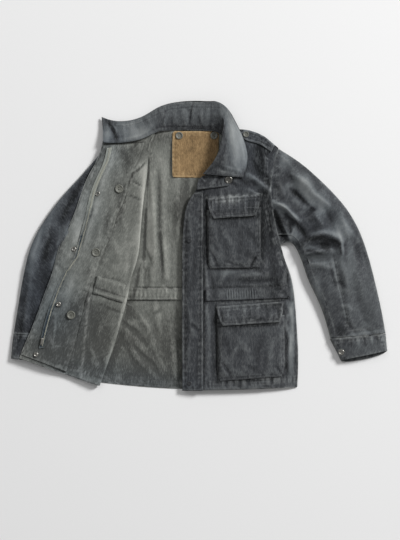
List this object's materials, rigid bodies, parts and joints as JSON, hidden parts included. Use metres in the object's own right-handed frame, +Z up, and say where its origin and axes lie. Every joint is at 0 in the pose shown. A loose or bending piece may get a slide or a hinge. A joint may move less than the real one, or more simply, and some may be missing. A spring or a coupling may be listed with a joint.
{
  "type": "field jacket",
  "caption": "Field jacket laid flat on its back, one front folded open inside up, with patch pockets, turned-down collar and two hollow sleeves.",
  "frame": {"origin": "middle of the laid-out jacket's box, on the floor that it lies on", "axes": "+X to the wearer's left sleeve, along the longest extent; +Y from hem to collar; +Z up from the floor"},
  "size_m": [1.0142, 0.7792, 0.0382],
  "materials": {
    "outside": "washed charcoal cotton twill, worn paler at seams",
    "inside": "washed grey cotton twill, wrong side, paler",
    "tape": "woven zip tape",
    "label": "tan woven cloth, plain",
    "horn": "dark sewn button",
    "cap": "dark painted stud cap",
    "steel": "worn nickel stud"
  },
  "bodies": {
    "root": {"back_panel": "inside", "back_waist_channel": "inside", "right_front": "inside", "right_facing": "inside", "right_waist_channel": "inside", "right_zip_tape": "tape", "zip_pin": "steel", "left_front": "outside", "left_placket": "outside", "throat_tab": "outside", "left_waist_channel": "outside", "collar": "outside", "left_epaulette": "outside", "chest_pocket_bag": "outside", "chest_pocket_flap": "outside", "lower_pocket_bag": "outside", "lower_pocket_flap": "outside", "left_top_sleeve": "outside", "left_under_sleeve": "outside", "left_cuff": "outside", "right_top_sleeve": "outside", "right_under_sleeve": "outside", "right_cuff": "outside", "label_patch": "label", "label_button_1": "horn", "label_button_2": "horn", "liner_button_1": "horn", "liner_button_2": "horn", "liner_button_3": "horn", "epaulette_button": "horn", "fly_stud_1": "steel", "fly_stud_2": "steel", "fly_stud_3": "steel", "fly_stud_4": "steel", "placket_stud_1": "cap", "placket_stud_2": "cap", "placket_stud_3": "cap", "top_stud": "steel", "left_cuff_stud": "steel"}
  },
  "joints": []
}
